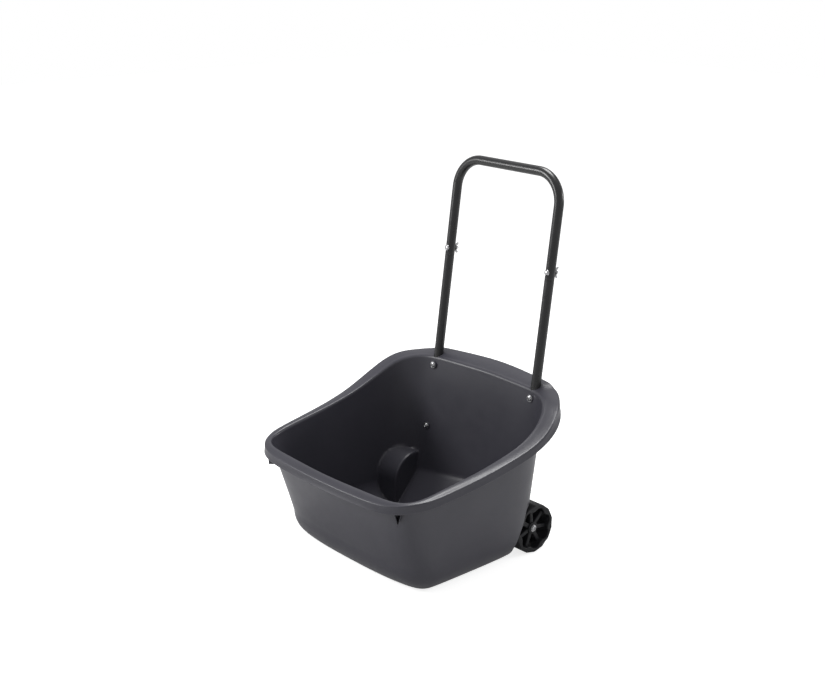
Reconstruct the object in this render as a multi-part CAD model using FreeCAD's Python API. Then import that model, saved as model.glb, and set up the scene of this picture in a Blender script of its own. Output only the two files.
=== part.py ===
import FreeCAD, Part
import math
import os

V = FreeCAD.Vector
EX = V(1, 0, 0)
EZ = V(0, 0, 1)

# Garden cart.  X is the axle direction, -Y is the front of the tub, +Y the handle side, Z is up.

# limits for cutting tools, well outside the cart
outside = 320.0
below_floor = -20.0

# tub shell
wall = 2.6              # moulded wall thickness
base_height = 60.0      # height at which the base fillet meets the wall
base_fillet = 60.0      # radius of the fillet between floor and wall
loft_top = 420.0        # the wall is lofted past the rim and then trimmed
fillet_steps = 4
fillet_turn = math.radians(76)

# half outlines from the middle of the front to the middle of the back, in mm
base_plan = [(0, -219), (94, -217), (172, -208), (214, -191), (233, -165), (238, -120), (238.5, -20),
             (237, 61), (226, 117), (192, 148), (150, 157.5), (80, 163), (0, 168)]
rim_plan = [(0, -264), (125, -260), (211, -251), (247, -216), (255, -152), (259, -70), (261, 0),
            (261, 80), (245, 141), (213, 178), (167, 199.5), (90, 207), (0, 211)]
flange_plan = [(0, -288), (131, -284), (219, -266), (262, -222), (276, -170), (283, -90), (290, 0),
               (296, 70), (290, 125), (268, 171), (232, 211), (185, 236), (100, 250), (0, 258)]

# side view of the rim: (y, z) of the top face
rim_profile = [(-330, 227), (-264, 234), (-180, 248), (-90, 261), (0, 278), (60, 296), (115, 322),
               (160, 347), (205, 361), (262, 369), (320, 374)]
skirt_drop = 18.0       # height of the turned-down edge of the rim

# handle tube
tube_r = 11.0
tube_bore = 9.5
tube_x = 160.0          # half the distance between the two legs
tube_y = 210.5          # leg axis where it passes the rim
tube_z = 359.4
lean = math.radians(8.0)
leg_low = -206.0        # distances along the leg, measured from the rim
leg_split = 246.0
leg_top = 476.2
spigot = 38.0
bend_r = 68.0

# handle joint hardware (M6)
joint_s = leg_split + 16.0
bolt_r = 3.0
nut_wing_span = 13.0

# screws that hold the legs to the back wall (M6 button heads)
screw_s = (-22.5, -173.5)
pad_depth = 15.6        # from the leg axis forward to the pad face inside the tub
pad_r = 9.5

# wheels and axle
axle_y = 150.0
axle_z = 57.0
axle_r = 5.0
wheel_r = 57.0
wheel_in = 183.0
wheel_out = 228.0
hub_in = 179.2
hub_out = 221.0
hub_r = 14.0
spokes = 7
well_r = 63.5           # radius of the wheel pocket at its inner face
well_in = 176.5
well_draft = 0.126      # growth of the pocket radius per mm outward
# side view of the pocket's mouth: (y, z) of the rear edge of the side wall, from the top down
mouth_edge = [(126, 145), (115, 116), (104, 84), (88, 52), (79, 30), (70, -20)]
slope_angle = math.radians(48.5)
slope_gap = 5.9         # from the axle centre to the outside of the sloping panel

# corner hooks
hook_tip = 185.0        # height of the ridge at the bottom of the V
hook_half = 11.8        # half width at the top
hook_wall = 2.0
hook_span = (300.0, 335.2)   # distances along the corner diagonal
hook_hollow = 318.0
hook_shift = 21.2       # sideways from the diagonal, towards the front

DOWN_LEG = V(0, -math.sin(lean), -math.cos(lean))
ALONG = V(0, math.sin(lean), math.cos(lean))
BACKWARD = V(0, math.cos(lean), -math.sin(lean))


def closed_plan(half):
    # mirror a half outline into a closed one
    right = [(float(x), float(y)) for x, y in half]
    left = [(-x, y) for x, y in right[1:-1]]
    return right + left[::-1]


def normals(plan):
    # outward unit normals of a closed outline, from its neighbours
    out = []
    count = len(plan)
    for i in range(count):
        ax, ay = plan[i - 1]
        bx, by = plan[(i + 1) % count]
        length = math.hypot(bx - ax, by - ay)
        out.append(((by - ay) / length, -(bx - ax) / length))
    return out


def grown(plan, amount):
    return [(x + amount * nx, y + amount * ny) for (x, y), (nx, ny) in zip(plan, normals(plan))]


def loop_edges(plan, z):
    # smooth closed curve through the outline, split in the middle of the front and of the back
    count = len(plan)
    curve = Part.BSplineCurve()
    steps = [float(k) for k in range(count + 1)]
    curve.interpolate(Points=[V(x, y, z) for x, y in plan], PeriodicFlag=True, Parameters=steps)
    return [curve.toShape(0, count // 2), curve.toShape(count // 2, count)]


def loop(plan, z):
    return Part.Wire(loop_edges(plan, z))


def rim_z(y):
    # height of the rim at y, by straight steps between profile points
    for (ya, za), (yb, zb) in zip(rim_profile, rim_profile[1:]):
        if y <= yb:
            return za + (zb - za) * (y - ya) / (yb - ya)
    return rim_profile[-1][1]


def tub_loft(inset):
    # body of the tub, moved inward by inset: quarter round at the floor, then a straight wall
    base = closed_plan(base_plan)
    rim = closed_plan(rim_plan)
    radius = base_fillet - inset
    rings = []
    for step in range(fillet_steps, 0, -1):
        turn = fillet_turn * step / fillet_steps
        pull = inset + radius * (1 - math.cos(turn))
        height = base_height - radius * math.sin(turn) / math.sin(fillet_turn)
        rings.append(loop_edges(grown(base, -pull), height))
    for height in (base_height, 150.0, 260.0, loft_top):
        ring = []
        for (bx, by), (tx, ty) in zip(base, rim):
            k = (height - base_height) / (rim_z(ty) - base_height)
            ring.append((bx + (tx - bx) * k, by + (ty - by) * k))
        rings.append(loop_edges(grown(ring, -inset), height))
    faces = [Part.Face(Part.Wire(rings[0])), Part.Face(Part.Wire(rings[-1]))]
    for low, high in zip(rings, rings[1:]):
        faces += [Part.makeRuledSurface(a, b) for a, b in zip(low, high)]
    shell = Part.Shell(faces)
    shell.sewShape()
    solid = Part.Solid(shell)
    if solid.Volume < 0:
        solid.reverse()
    return solid


def under_rim(drop):
    # everything below the rim surface lowered by drop
    curve = Part.BSplineCurve()
    curve.interpolate([V(-400, y, z - drop) for y, z in rim_profile])
    a = V(-400, rim_profile[0][0], rim_profile[0][1] - drop)
    b = V(-400, rim_profile[-1][0], rim_profile[-1][1] - drop)
    low_a = V(-400, a.y, -50)
    low_b = V(-400, b.y, -50)
    edges = [curve.toShape(), Part.makeLine(b, low_b), Part.makeLine(low_b, low_a), Part.makeLine(low_a, a)]
    return Part.Face(Part.Wire(edges)).extrude(V(800, 0, 0))


def prism(plan, low, high):
    return Part.Face(loop(plan, low)).extrude(V(0, 0, high - low))


def ahead_of_slope(gap):
    # half space in front of the sloping panel, gap measured from the axle centre
    n = V(0, -math.sin(slope_angle), math.cos(slope_angle))
    along = V(0, math.cos(slope_angle), math.sin(slope_angle))
    p = V(-400, axle_y, axle_z) + n * gap
    corners = [p - along * 400, p + along * 400, p + along * 400 + n * 700, p - along * 400 + n * 700]
    return Part.Face(Part.makePolygon(corners + [corners[0]])).extrude(V(800, 0, 0))


def side_wire(x, points, bulge=None):
    # closed outline in the plane at x, from (y, z) points; bulge turns the first edge into an arc
    pts = [V(x, y, z) for y, z in points]
    edges = [Part.makeLine(p, q) for p, q in zip(pts, pts[1:] + pts[:1])]
    if bulge:
        edges[0] = Part.Arc(pts[0], V(x, *bulge), pts[1]).toShape()
    return Part.Wire(edges)


def well(side, grow):
    # wheel pocket with draft: round over the wheel, straight down and open to the back and the side
    wires = []
    for x in (well_in - grow, outside):
        r = well_r + grow + well_draft * (x - well_in)
        k = r * math.sqrt(0.5)
        points = [(axle_y - r, axle_z), (axle_y, axle_z + r), (outside, axle_z + r), (outside, below_floor),
                  (axle_y - r, below_floor)]
        wires.append(side_wire(x, points, (axle_y - k, axle_z + k)))
    shape = Part.makeLoft(wires, True, True)
    return shape if side > 0 else shape.mirror(V(0, 0, 0), EX)


def pocket(side, cavity):
    # the part of the well that is empty: all of it inside the side wall, and the mouth behind the edge
    shape = well(side, 0.0)
    points = mouth_edge + [(outside, below_floor), (outside, mouth_edge[0][1])]
    mouth = Part.Face(side_wire(-outside, points)).extrude(EX * 2 * outside)
    return shape.common(cavity).fuse(shape.common(mouth))


def leg_point(side, s):
    return V(side * tube_x, tube_y, tube_z) + ALONG * s


def rod(radius, a, b):
    d = b - a
    return Part.makeCylinder(radius, d.Length, a, d)


def hook(side):
    # hollow V-shaped hook under the rim near a front corner, open to the outside
    out = V(side * math.sqrt(0.5), -math.sqrt(0.5), 0)
    across = V(-out.y, out.x, 0)
    top = rim_z(-250) - wall - 0.5
    solids = []
    for start, end, thin in ((hook_span[0], hook_span[1], 0.0), (hook_hollow, outside * 2, hook_wall)):
        half = hook_half - 1.1 * thin
        foot = out * start - across * side * hook_shift
        pts = [foot + across * half + EZ * (top + thin), foot - across * half + EZ * (top + thin),
               foot + EZ * (hook_tip + 4.0 * thin)]
        solids.append(Part.Face(Part.makePolygon(pts + [pts[0]])).extrude(out * (end - start)))
    return solids[0].cut(solids[1])


def leg_pads(depth_from, depth_to):
    # round bosses around the leg screws, between two distances forward of the leg axis
    pads = []
    for side in (-1, 1):
        for s in screw_s:
            a = leg_point(side, s)
            pads.append(rod(pad_r, a - BACKWARD * depth_from, a - BACKWARD * depth_to))
    return pads


def axle_supports():
    # ribs that carry the axle under the sloping panel
    blocks = []
    for x in (-120.0, -40.0, 40.0, 120.0):
        block = Part.makeBox(12, 26, 24, V(x - 6, axle_y - 15, axle_z - 10))
        blocks.append(block.cut(ahead_of_slope(slope_gap + 0.5 * wall)))
    return blocks


def tub():
    cavity = tub_loft(wall)
    shell = tub_loft(0.0).common(ahead_of_slope(slope_gap))
    inside = cavity.common(ahead_of_slope(slope_gap + wall))
    for side in (-1, 1):
        shell = shell.cut(pocket(side, cavity))
        inside = inside.cut(well(side, wall))
    below = under_rim(0.0)
    plan = closed_plan(flange_plan)
    lid = prism(plan, 120, 430).common(below).cut(under_rim(wall))
    band = prism(plan, 120, 430).cut(prism(grown(plan, -wall), 100, 440))
    skirt = band.common(below).cut(under_rim(skirt_drop))
    body = shell.common(below).fuse([lid, skirt, hook(-1), hook(1)] + leg_pads(pad_depth, 6.0) + axle_supports())

    # hollow out the inside, but leave the pads, which stand slightly proud of the back wall
    body = body.cut(inside.cut(Part.makeCompound(leg_pads(pad_depth, 0.0))))
    tools = leg_pads(pad_depth + 12.0, pad_depth)
    for side in (-1, 1):
        tools.append(rod(tube_r + 0.6, leg_point(side, leg_low - 40), leg_point(side, 80)))
        for s in screw_s:
            a = leg_point(side, s)
            tools.append(rod(bolt_r + 0.3, a - BACKWARD * 40, a))
    tools.append(Part.makeCylinder(axle_r + 0.05, 420, V(-210, axle_y, axle_z), EX))
    return body.cut(tools).removeSplitter()


def upper_handle():
    # one bent tube: leg, bend, grip, bend, leg
    def path(z_start):
        top = leg_top
        a = leg_point(-1, z_start)
        b = leg_point(-1, top - bend_r)
        c = leg_point(-1, top) + EX * bend_r
        d = leg_point(1, top) - EX * bend_r
        e = leg_point(1, top - bend_r)
        f = leg_point(1, z_start)
        k = bend_r * (1 - math.sqrt(0.5))
        m1 = leg_point(-1, top - k) + EX * k
        m2 = leg_point(1, top - k) - EX * k
        return Part.Wire([Part.makeLine(a, b), Part.Arc(b, m1, c).toShape(), Part.makeLine(c, d),
                          Part.Arc(d, m2, e).toShape(), Part.makeLine(e, f)])
    start = leg_split + 0.5
    line = path(start)
    ring = Part.Wire(Part.makeCircle(tube_r, leg_point(-1, start), ALONG))
    bore = Part.Wire(Part.makeCircle(tube_bore, leg_point(-1, start), ALONG))
    outer = line.makePipeShell([ring], True, False)
    inner = line.makePipeShell([bore], True, False)
    shape = outer.cut(inner)
    for side in (-1, 1):
        a = leg_point(side, joint_s)
        shape = shape.cut(rod(bolt_r + 0.3, a - BACKWARD * 20, a + BACKWARD * 20))
    return shape


def lower_leg(side):
    shape = rod(tube_r, leg_point(side, leg_low), leg_point(side, leg_split))
    shape = shape.fuse(rod(tube_bore - 0.05, leg_point(side, leg_split - 4), leg_point(side, leg_split + spigot)))
    shape = shape.cut(rod(tube_bore, leg_point(side, leg_low - 1), leg_point(side, leg_split - 6)))
    shape = shape.cut(rod(8.0, leg_point(side, leg_split - 8), leg_point(side, leg_split + spigot + 1)))
    for s in screw_s + (joint_s,):
        a = leg_point(side, s)
        shape = shape.cut(rod(bolt_r + 0.3, a - BACKWARD * 20, a + BACKWARD * 20))
    return shape


def leg_plug(side):
    # push-in end cap at the bottom of the leg
    low = leg_point(side, leg_low)
    cap = rod(tube_r, low - ALONG * 2.5, low)
    stem = rod(tube_bore - 0.05, low - ALONG * 0.5, low + ALONG * 14)
    hollow = rod(tube_bore - 2.0, low + ALONG * 2, low + ALONG * 16)
    return cap.fuse(stem).cut(hollow)


def button_screw(face, direction, length):
    # head seats at face and the shank runs along direction; hexagon socket in the head
    head = Part.makeCone(6.5, 4.2, 3.3, face, direction * -1)
    shank = rod(bolt_r, face - direction * 0.2, face + direction * length)
    top = face - direction * 3.3
    side_a = V(1, 0, 0) if abs(direction.x) < 0.5 else V(0, 1, 0)
    side_b = direction.cross(side_a)
    pts = [top + (side_a * math.cos(k * math.pi / 3) + side_b * math.sin(k * math.pi / 3)) * 2.3 for k in range(7)]
    socket = Part.Face(Part.makePolygon(pts)).extrude(direction * 2.0)
    return head.fuse(shank).cut(socket)


def washer(face, direction, outer, bore, thick):
    return rod(outer, face, face + direction * thick).cut(rod(bore, face - direction, face + direction * (thick + 1)))


def hex_nut(face, direction, across, thick):
    side_a = V(1, 0, 0)
    side_b = direction.cross(side_a)
    r = across / math.sqrt(3)
    pts = [face + (side_a * math.cos(k * math.pi / 3) + side_b * math.sin(k * math.pi / 3)) * r for k in range(7)]
    body = Part.Face(Part.makePolygon(pts)).extrude(direction * thick)
    return body.cut(rod(bolt_r + 0.03, face - direction, face + direction * (thick + 1)))


def saddle_washer(side):
    # curved washer between the tube and the wing nut
    a = leg_point(side, joint_s)
    block = rod(8.0, a + BACKWARD * 7, a + BACKWARD * 13.6)
    block = block.cut(rod(tube_r + 0.02, a - ALONG * 20, a + ALONG * 20))
    return block.cut(rod(bolt_r + 0.3, a, a + BACKWARD * 20))


def joint_bolt(side):
    # round-headed bolt from the front of the leg
    a = leg_point(side, joint_s)
    face = a - BACKWARD * (tube_r + 0.05)
    head = Part.makeCone(7.0, 4.0, 3.6, face, BACKWARD * -1)
    return head.fuse(rod(bolt_r, face, a + BACKWARD * 24.0))


def wing_nut(side):
    a = leg_point(side, joint_s)
    base = a + BACKWARD * 13.7
    core = Part.makeCone(5.6, 4.4, 6.0, base, BACKWARD)
    wings = []
    for way in (-1, 1):
        d = ALONG * way
        pts = [base + BACKWARD * 1.2 + d * 3.2, base + BACKWARD * 3.2 + d * 9.0, base + BACKWARD * 9.5 + d * nut_wing_span,
               base + BACKWARD * 11.0 + d * 10.5, base + BACKWARD * 5.6 + d * 3.6]
        plate = Part.Face(Part.makePolygon(pts + [pts[0]])).extrude(EX * 2.4)
        plate.translate(EX * -1.2)
        wings.append(plate)
    nut = core.fuse(wings)
    return nut.cut(rod(bolt_r + 0.05, base - BACKWARD, base + BACKWARD * 14))


def wheel(side):
    # one-piece moulded wheel: faceted tread, scalloped ring, seven spokes and a hub
    pts = []
    facets = 2 * spokes
    for k in range(facets + 1):
        turn = -math.pi / 2 + 2 * math.pi * k / facets
        pts.append(V(wheel_in, axle_y + wheel_r * math.cos(turn), axle_z + wheel_r * math.sin(turn)))
    centre = V(wheel_in, axle_y, axle_z)
    width = wheel_out - wheel_in
    body = Part.Face(Part.makePolygon(pts)).extrude(EX * width)
    cutters = [Part.makeCylinder(42.0, width + 2, centre - EX, EX)]
    for k in range(spokes):
        turn = math.radians(95) + 2 * math.pi * (k + 0.5) / spokes
        p = V(wheel_in - 1, axle_y + 33.0 * math.cos(turn), axle_z + 33.0 * math.sin(turn))
        cutters.append(Part.makeCylinder(15.5, width + 2, p, EX))
    body = body.cut(cutters)
    arms = [Part.makeCylinder(hub_r, hub_out - hub_in, V(hub_in, axle_y, axle_z), EX)]
    for k in range(spokes):
        turn = 95 + 360.0 * k / spokes
        arm = Part.makeBox(24, 36, 10, V(194, axle_y + 9, axle_z - 5))
        arm.rotate(V(0, axle_y, axle_z), EX, turn)
        arms.append(arm)
    body = body.fuse(arms)
    body = body.cut(Part.makeCylinder(axle_r + 0.05, 80, V(170, axle_y, axle_z), EX)).removeSplitter()
    return body if side > 0 else body.mirror(V(0, 0, 0), EX)


def axle():
    rod_end = hub_out + 0.4
    shape = Part.makeCylinder(axle_r, 2 * rod_end, V(-rod_end, axle_y, axle_z), EX)
    for side in (-1, 1):
        tip = V(side * (rod_end + 1), axle_y, axle_z)
        shape = shape.cut(rod(bolt_r + 0.02, tip, tip - EX * side * 21))
    return shape


def axle_screw(side):
    face = V(side * (hub_out + 2.1), axle_y, axle_z)
    return button_screw(face, EX * -side, 18.0)


def axle_washers(low, thick, outer, bore):
    made = []
    for side in (-1, 1):
        made.append(washer(V(side * low, axle_y, axle_z), EX * side, outer, bore, thick))
    return Part.makeCompound(made)


def leg_screws(s):
    made = []
    for side in (-1, 1):
        face = leg_point(side, s) - BACKWARD * (pad_depth + 1.2)
        made.append(button_screw(face, BACKWARD, 36.0))
    return Part.makeCompound(made)


def leg_washers():
    made = []
    for side in (-1, 1):
        for s in screw_s:
            face = leg_point(side, s) - BACKWARD * (pad_depth + 1.2)
            made.append(washer(face, BACKWARD, 8.0, bolt_r + 0.3, 1.15))
    return Part.makeCompound(made)


def leg_nuts():
    made = []
    for side in (-1, 1):
        for s in screw_s:
            face = leg_point(side, s) + BACKWARD * (tube_r + 0.05)
            made.append(hex_nut(face, BACKWARD, 10.0, 5.0))
    return Part.makeCompound(made)


def save(name, shape):
    shape.exportStep("parts/" + name + ".step")
    print(name, "volume", round(shape.Volume), "valid", shape.isValid(), "solids", len(shape.Solids))


os.makedirs("parts", exist_ok=True)
save("tub", tub())
save("handle_upper", upper_handle())
save("leg_washers", leg_washers())
save("leg_screws_upper", leg_screws(screw_s[0]))
save("leg_screws_lower", leg_screws(screw_s[1]))
save("leg_nuts", leg_nuts())
save("axle", axle())
save("axle_inner_washers", axle_washers(177.0, 1.8, 9.0, axle_r + 0.1))
save("axle_outer_washers", axle_washers(hub_out + 0.5, 1.5, 8.0, bolt_r + 0.1))
for side, word in ((-1, "left"), (1, "right")):
    save("handle_lower_" + word, lower_leg(side))
    save("leg_plug_" + word, leg_plug(side))
    save("joint_bolt_" + word, joint_bolt(side))
    save("joint_washer_" + word, saddle_washer(side))
    save("wing_nut_" + word, wing_nut(side))
    save("wheel_" + word, wheel(side))
    save("axle_screw_" + word, axle_screw(side))
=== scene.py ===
import math
import bpy
import numpy as np
from mathutils import Matrix


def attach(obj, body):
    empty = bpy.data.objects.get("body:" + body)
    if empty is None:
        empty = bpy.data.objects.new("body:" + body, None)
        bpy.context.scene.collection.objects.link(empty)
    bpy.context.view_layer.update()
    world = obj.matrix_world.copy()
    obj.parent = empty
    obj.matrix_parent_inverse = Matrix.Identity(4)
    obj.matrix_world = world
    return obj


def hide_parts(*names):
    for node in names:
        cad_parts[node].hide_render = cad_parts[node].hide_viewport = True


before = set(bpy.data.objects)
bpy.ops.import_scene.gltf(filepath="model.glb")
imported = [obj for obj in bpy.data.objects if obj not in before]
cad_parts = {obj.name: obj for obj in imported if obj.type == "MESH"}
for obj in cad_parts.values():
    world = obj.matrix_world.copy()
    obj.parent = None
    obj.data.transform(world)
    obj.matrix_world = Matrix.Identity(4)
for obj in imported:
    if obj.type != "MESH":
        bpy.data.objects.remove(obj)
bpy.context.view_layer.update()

mm = 0.001
xAxis = np.array([1.0, 0.0, 0.0])
zAxis = np.array([0.0, 0.0, 1.0])
print("stage 1: frame loaded")


# camera and lights
cameraFacts = {
    "place": (2.1097, -1.8871, 1.3557),
    "turn": (72.349, 0.0, 48.417),      # degrees
    "lens": 58.95,
}
camData = bpy.data.cameras.new("cameraData")
camData.lens = cameraFacts["lens"]
camData.sensor_width = 36.0
camera = bpy.data.objects.new("camera", camData)
camera.location = cameraFacts["place"]
camera.rotation_euler = [math.radians(a) for a in cameraFacts["turn"]]
bpy.context.scene.collection.objects.link(camera)
bpy.context.scene.camera = camera


def softLight(name, place, aim, size, power):
    # a round lamp at a place, turned so that its face looks at the aim
    data = bpy.data.lights.new(name, "AREA")
    data.shape = "DISK"
    data.size = size
    data.energy = power
    lamp = bpy.data.objects.new(name, data)
    lamp.location = place
    away = np.array(place) - np.array(aim)
    flat = math.hypot(away[0], away[1])
    lamp.rotation_euler = (math.atan2(flat, away[2]), 0.0, math.atan2(away[0], -away[1]))
    bpy.context.scene.collection.objects.link(lamp)


lightFacts = {
    "key": ((-1.9, -2.3, 1.5), 1.1, 55.0),       # place, width, power
    "fill": ((3.0, 0.4, 1.2), 1.0, 3.0),
    "top": ((-0.3, 0.6, 2.6), 1.1, 48.0),
    "strip": ((1.6, 2.6, 1.2), 0.5, 22.0),
    "sky": 0.55, "backdrop": 1.0, "floorGlow": 0.78, "floorBounce": 0.12,
}
for lightName in ("key", "fill", "top", "strip"):
    place, width, power = lightFacts[lightName]
    softLight(lightName + "Light", place, (0, 0, 0.3), width, power)
world = bpy.data.worlds.new("studio")
world.use_nodes = True
sky = world.node_tree.nodes["Background"]
sky.inputs[0].default_value = (1.0, 1.0, 1.0, 1.0)
seen = world.node_tree.nodes.new("ShaderNodeLightPath")
choose = world.node_tree.nodes.new("ShaderNodeMapRange")   # white behind the object, softer as a light
choose.inputs["To Min"].default_value = lightFacts["sky"]
choose.inputs["To Max"].default_value = lightFacts["backdrop"]
world.node_tree.links.new(seen.outputs["Is Camera Ray"], choose.inputs["Value"])
world.node_tree.links.new(choose.outputs[0], sky.inputs[1])
bpy.context.scene.world = world
bpy.context.scene.view_settings.view_transform = "Standard"


def unit(v):
    # vectors divided by their length
    v = np.asarray(v, float)
    return v / np.linalg.norm(v, axis=-1, keepdims=True)


def gridSurface(points, capStart=True, capEnd=True):
    # rows of points, each row a closed ring; quads between rows, a fan at each closed end
    rows, cols = points.shape[:2]
    a = np.arange(rows - 1)[:, None] * cols + np.arange(cols)[None, :]
    b = np.arange(rows - 1)[:, None] * cols + (np.arange(cols)[None, :] + 1) % cols
    quads = np.stack([a, b, b + cols, a + cols], -1).reshape(-1, 4)
    verts = points.reshape(-1, 3)
    tris = []
    ring = np.arange(cols)
    if capStart:
        tris.append(np.stack([np.full(cols, len(verts)), (ring + 1) % cols, ring], -1))
        verts = np.vstack([verts, points[0].mean(0)])
    if capEnd:
        last = (rows - 1) * cols
        tris.append(np.stack([np.full(cols, len(verts)), last + ring, last + (ring + 1) % cols], -1))
        verts = np.vstack([verts, points[-1].mean(0)])
    return outward(verts, quads, np.vstack(tris) if tris else np.zeros((0, 3), int))


def loopedSurface(points):
    # rows closed on themselves both ways, such as a ring or a torus
    rows, cols = points.shape[:2]
    r = np.arange(rows)[:, None]
    c = np.arange(cols)[None, :]
    quads = np.stack([r * cols + c, r * cols + (c + 1) % cols,
                      (r + 1) % rows * cols + (c + 1) % cols, (r + 1) % rows * cols + c], -1).reshape(-1, 4)
    return outward(points.reshape(-1, 3), quads, np.zeros((0, 3), int))


def outward(verts, quads, tris):
    # turn all faces over if the enclosed volume comes out negative
    allTris = np.vstack([quads[:, [0, 1, 2]], quads[:, [0, 2, 3]], tris])
    p = verts[allTris]
    volume = np.einsum("ij,ij->i", p[:, 0], np.cross(p[:, 1], p[:, 2])).sum()
    if volume < 0:
        quads = quads[:, ::-1]
        tris = tris[:, ::-1]
    return verts, quads, tris


def makePiece(name, parts, sharp=35.0):
    # one mesh object from several closed parts given in millimetres
    verts, faces, start = [], [], 0
    for v, q, t in parts:
        verts.append(v)
        faces += (q + start).tolist() + (t + start).tolist()
        start += len(v)
    mesh = bpy.data.meshes.new(name)
    mesh.from_pydata((np.vstack(verts) * mm).tolist(), [], faces)
    mesh.update()
    mesh.polygons.foreach_set("use_smooth", np.ones(len(mesh.polygons), bool))
    mesh.set_sharp_from_angle(angle=math.radians(sharp))
    piece = bpy.data.objects.new(name, mesh)
    bpy.context.scene.collection.objects.link(piece)
    return piece


def mirrored(part):
    # the same part on the other side: x changes sign and each face is turned over
    v, q, t = part
    return v * np.array([-1.0, 1.0, 1.0]), q[:, ::-1], t[:, ::-1]


def hill(across, lengthwise, spot):
    # 1 at a spot in plan, falling away smoothly: spot holds its two places and its two widths
    x, y, wide, long = spot
    return np.exp(-((across - x) / wide) ** 2 - ((lengthwise - y) / long) ** 2)


def closedCurve(knots, count):
    # periodic cubic curve through the knots, with as many equal steps as count
    n = len(knots)
    eye = np.eye(n)
    system = 4 * eye + np.roll(eye, 1, 1) + np.roll(eye, -1, 1)
    slope = np.linalg.solve(system, 3 * (np.roll(knots, -1, 0) - np.roll(knots, 1, 0)))
    t = np.arange(count) * n / count
    i = np.floor(t).astype(int) % n
    f = (t - np.floor(t))[:, None]
    j = (i + 1) % n
    return (knots[i] * (2 * f ** 3 - 3 * f ** 2 + 1) + knots[j] * (3 * f ** 2 - 2 * f ** 3)
            + slope[i] * (f ** 3 - 2 * f ** 2 + f) + slope[j] * (f ** 3 - f ** 2))


def ringLoop(plan, count):
    # closed smooth outline through a half plan and its mirror image
    half = np.array(plan, float)
    return closedCurve(np.vstack([half, half[1:-1][::-1] * [-1, 1]]), count)


def outNormal(loop):
    # outward normals of a closed outline from its neighbours
    d = np.roll(loop, -1, 0) - np.roll(loop, 1, 0)
    return unit(np.stack([d[:, 1], -d[:, 0]], -1))


def smoothStep(x):
    # 0 below 0, 1 above 1, and a soft S between them
    x = np.clip(x, 0, 1)
    return x * x * (3 - 2 * x)


def quietMin(a, b, k):
    # the smaller of a and b, with the corner between them rounded over a width k
    h = np.clip(k - np.abs(a - b), 0, None) / k
    return np.minimum(a, b) - h * h * k * 0.25


def quietMax(a, b, k):
    # the larger of a and b, rounded in the same way
    return -quietMin(-a, -b, k)


class Finish:
    # a procedural finish: its nodes read the piece's own coordinates in metres

    def __init__(self, name, metallic=0.0, specular=0.5):
        self.material = bpy.data.materials.new(name)
        self.material.use_nodes = True
        self.nodes = self.material.node_tree.nodes
        self.links = self.material.node_tree.links
        self.shader = self.nodes["Principled BSDF"]
        self.shader.inputs["Metallic"].default_value = metallic
        self.shader.inputs["Specular IOR Level"].default_value = specular
        self.place = self.nodes.new("ShaderNodeTexCoord").outputs["Object"]

    def stretch(self, scale, turn=(0, 0, 0)):
        node = self.nodes.new("ShaderNodeMapping")
        node.inputs["Scale"].default_value = scale
        node.inputs["Rotation"].default_value = turn
        self.links.new(self.place, node.inputs["Vector"])
        return node.outputs[0]

    def noise(self, scale, detail=3.0, rough=0.55, source=None):
        node = self.nodes.new("ShaderNodeTexNoise")
        node.inputs["Scale"].default_value = scale
        node.inputs["Detail"].default_value = detail
        node.inputs["Roughness"].default_value = rough
        self.links.new(source or self.place, node.inputs["Vector"])
        return node.outputs["Fac"]

    def ramp(self, source, stops):
        node = self.nodes.new("ShaderNodeValToRGB")
        ramp = node.color_ramp
        for k, (at, colour) in enumerate(stops):
            stop = ramp.elements[k] if k < 2 else ramp.elements.new(at)
            stop.position = at
            stop.color = tuple(colour) + (1.0,) if len(colour) == 3 else colour
        self.links.new(source, node.inputs[0])
        return node.outputs[0]

    def grey(self, source, low, high, start=0.35, end=0.65):
        node = self.nodes.new("ShaderNodeMapRange")
        for name, value in zip(("From Min", "From Max", "To Min", "To Max"), (start, end, low, high)):
            node.inputs[name].default_value = value
        self.links.new(source, node.inputs["Value"])
        return node.outputs[0]

    def mix(self, fac, a, b, mode="MIX"):
        node = self.nodes.new("ShaderNodeMix")
        node.data_type = "RGBA"
        node.blend_type = mode
        for socket, value in ((node.inputs[0], fac), (node.inputs[6], a), (node.inputs[7], b)):
            if isinstance(value, (int, float)):
                socket.default_value = value
            elif isinstance(value, tuple):
                socket.default_value = value + (1.0,)
            else:
                self.links.new(value, socket)
        return node.outputs[2]

    def maths(self, how, a, b):
        node = self.nodes.new("ShaderNodeMath")
        node.operation = how
        for socket, value in zip(node.inputs, (a, b)):
            if isinstance(value, (int, float)):
                socket.default_value = value
            else:
                self.links.new(value, socket)
        return node.outputs[0]

    def bump(self, source, strength, depth, under=None):
        node = self.nodes.new("ShaderNodeBump")
        node.inputs["Strength"].default_value = strength
        node.inputs["Distance"].default_value = depth
        self.links.new(source, node.inputs["Height"])
        if under is not None:
            self.links.new(under, node.inputs["Normal"])
        return node.outputs[0]

    def finish(self, colour, roughness, normal):
        self.links.new(colour, self.shader.inputs["Base Color"])
        self.links.new(roughness, self.shader.inputs["Roughness"])
        self.links.new(normal, self.shader.inputs["Normal"])
        return self.material


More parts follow.
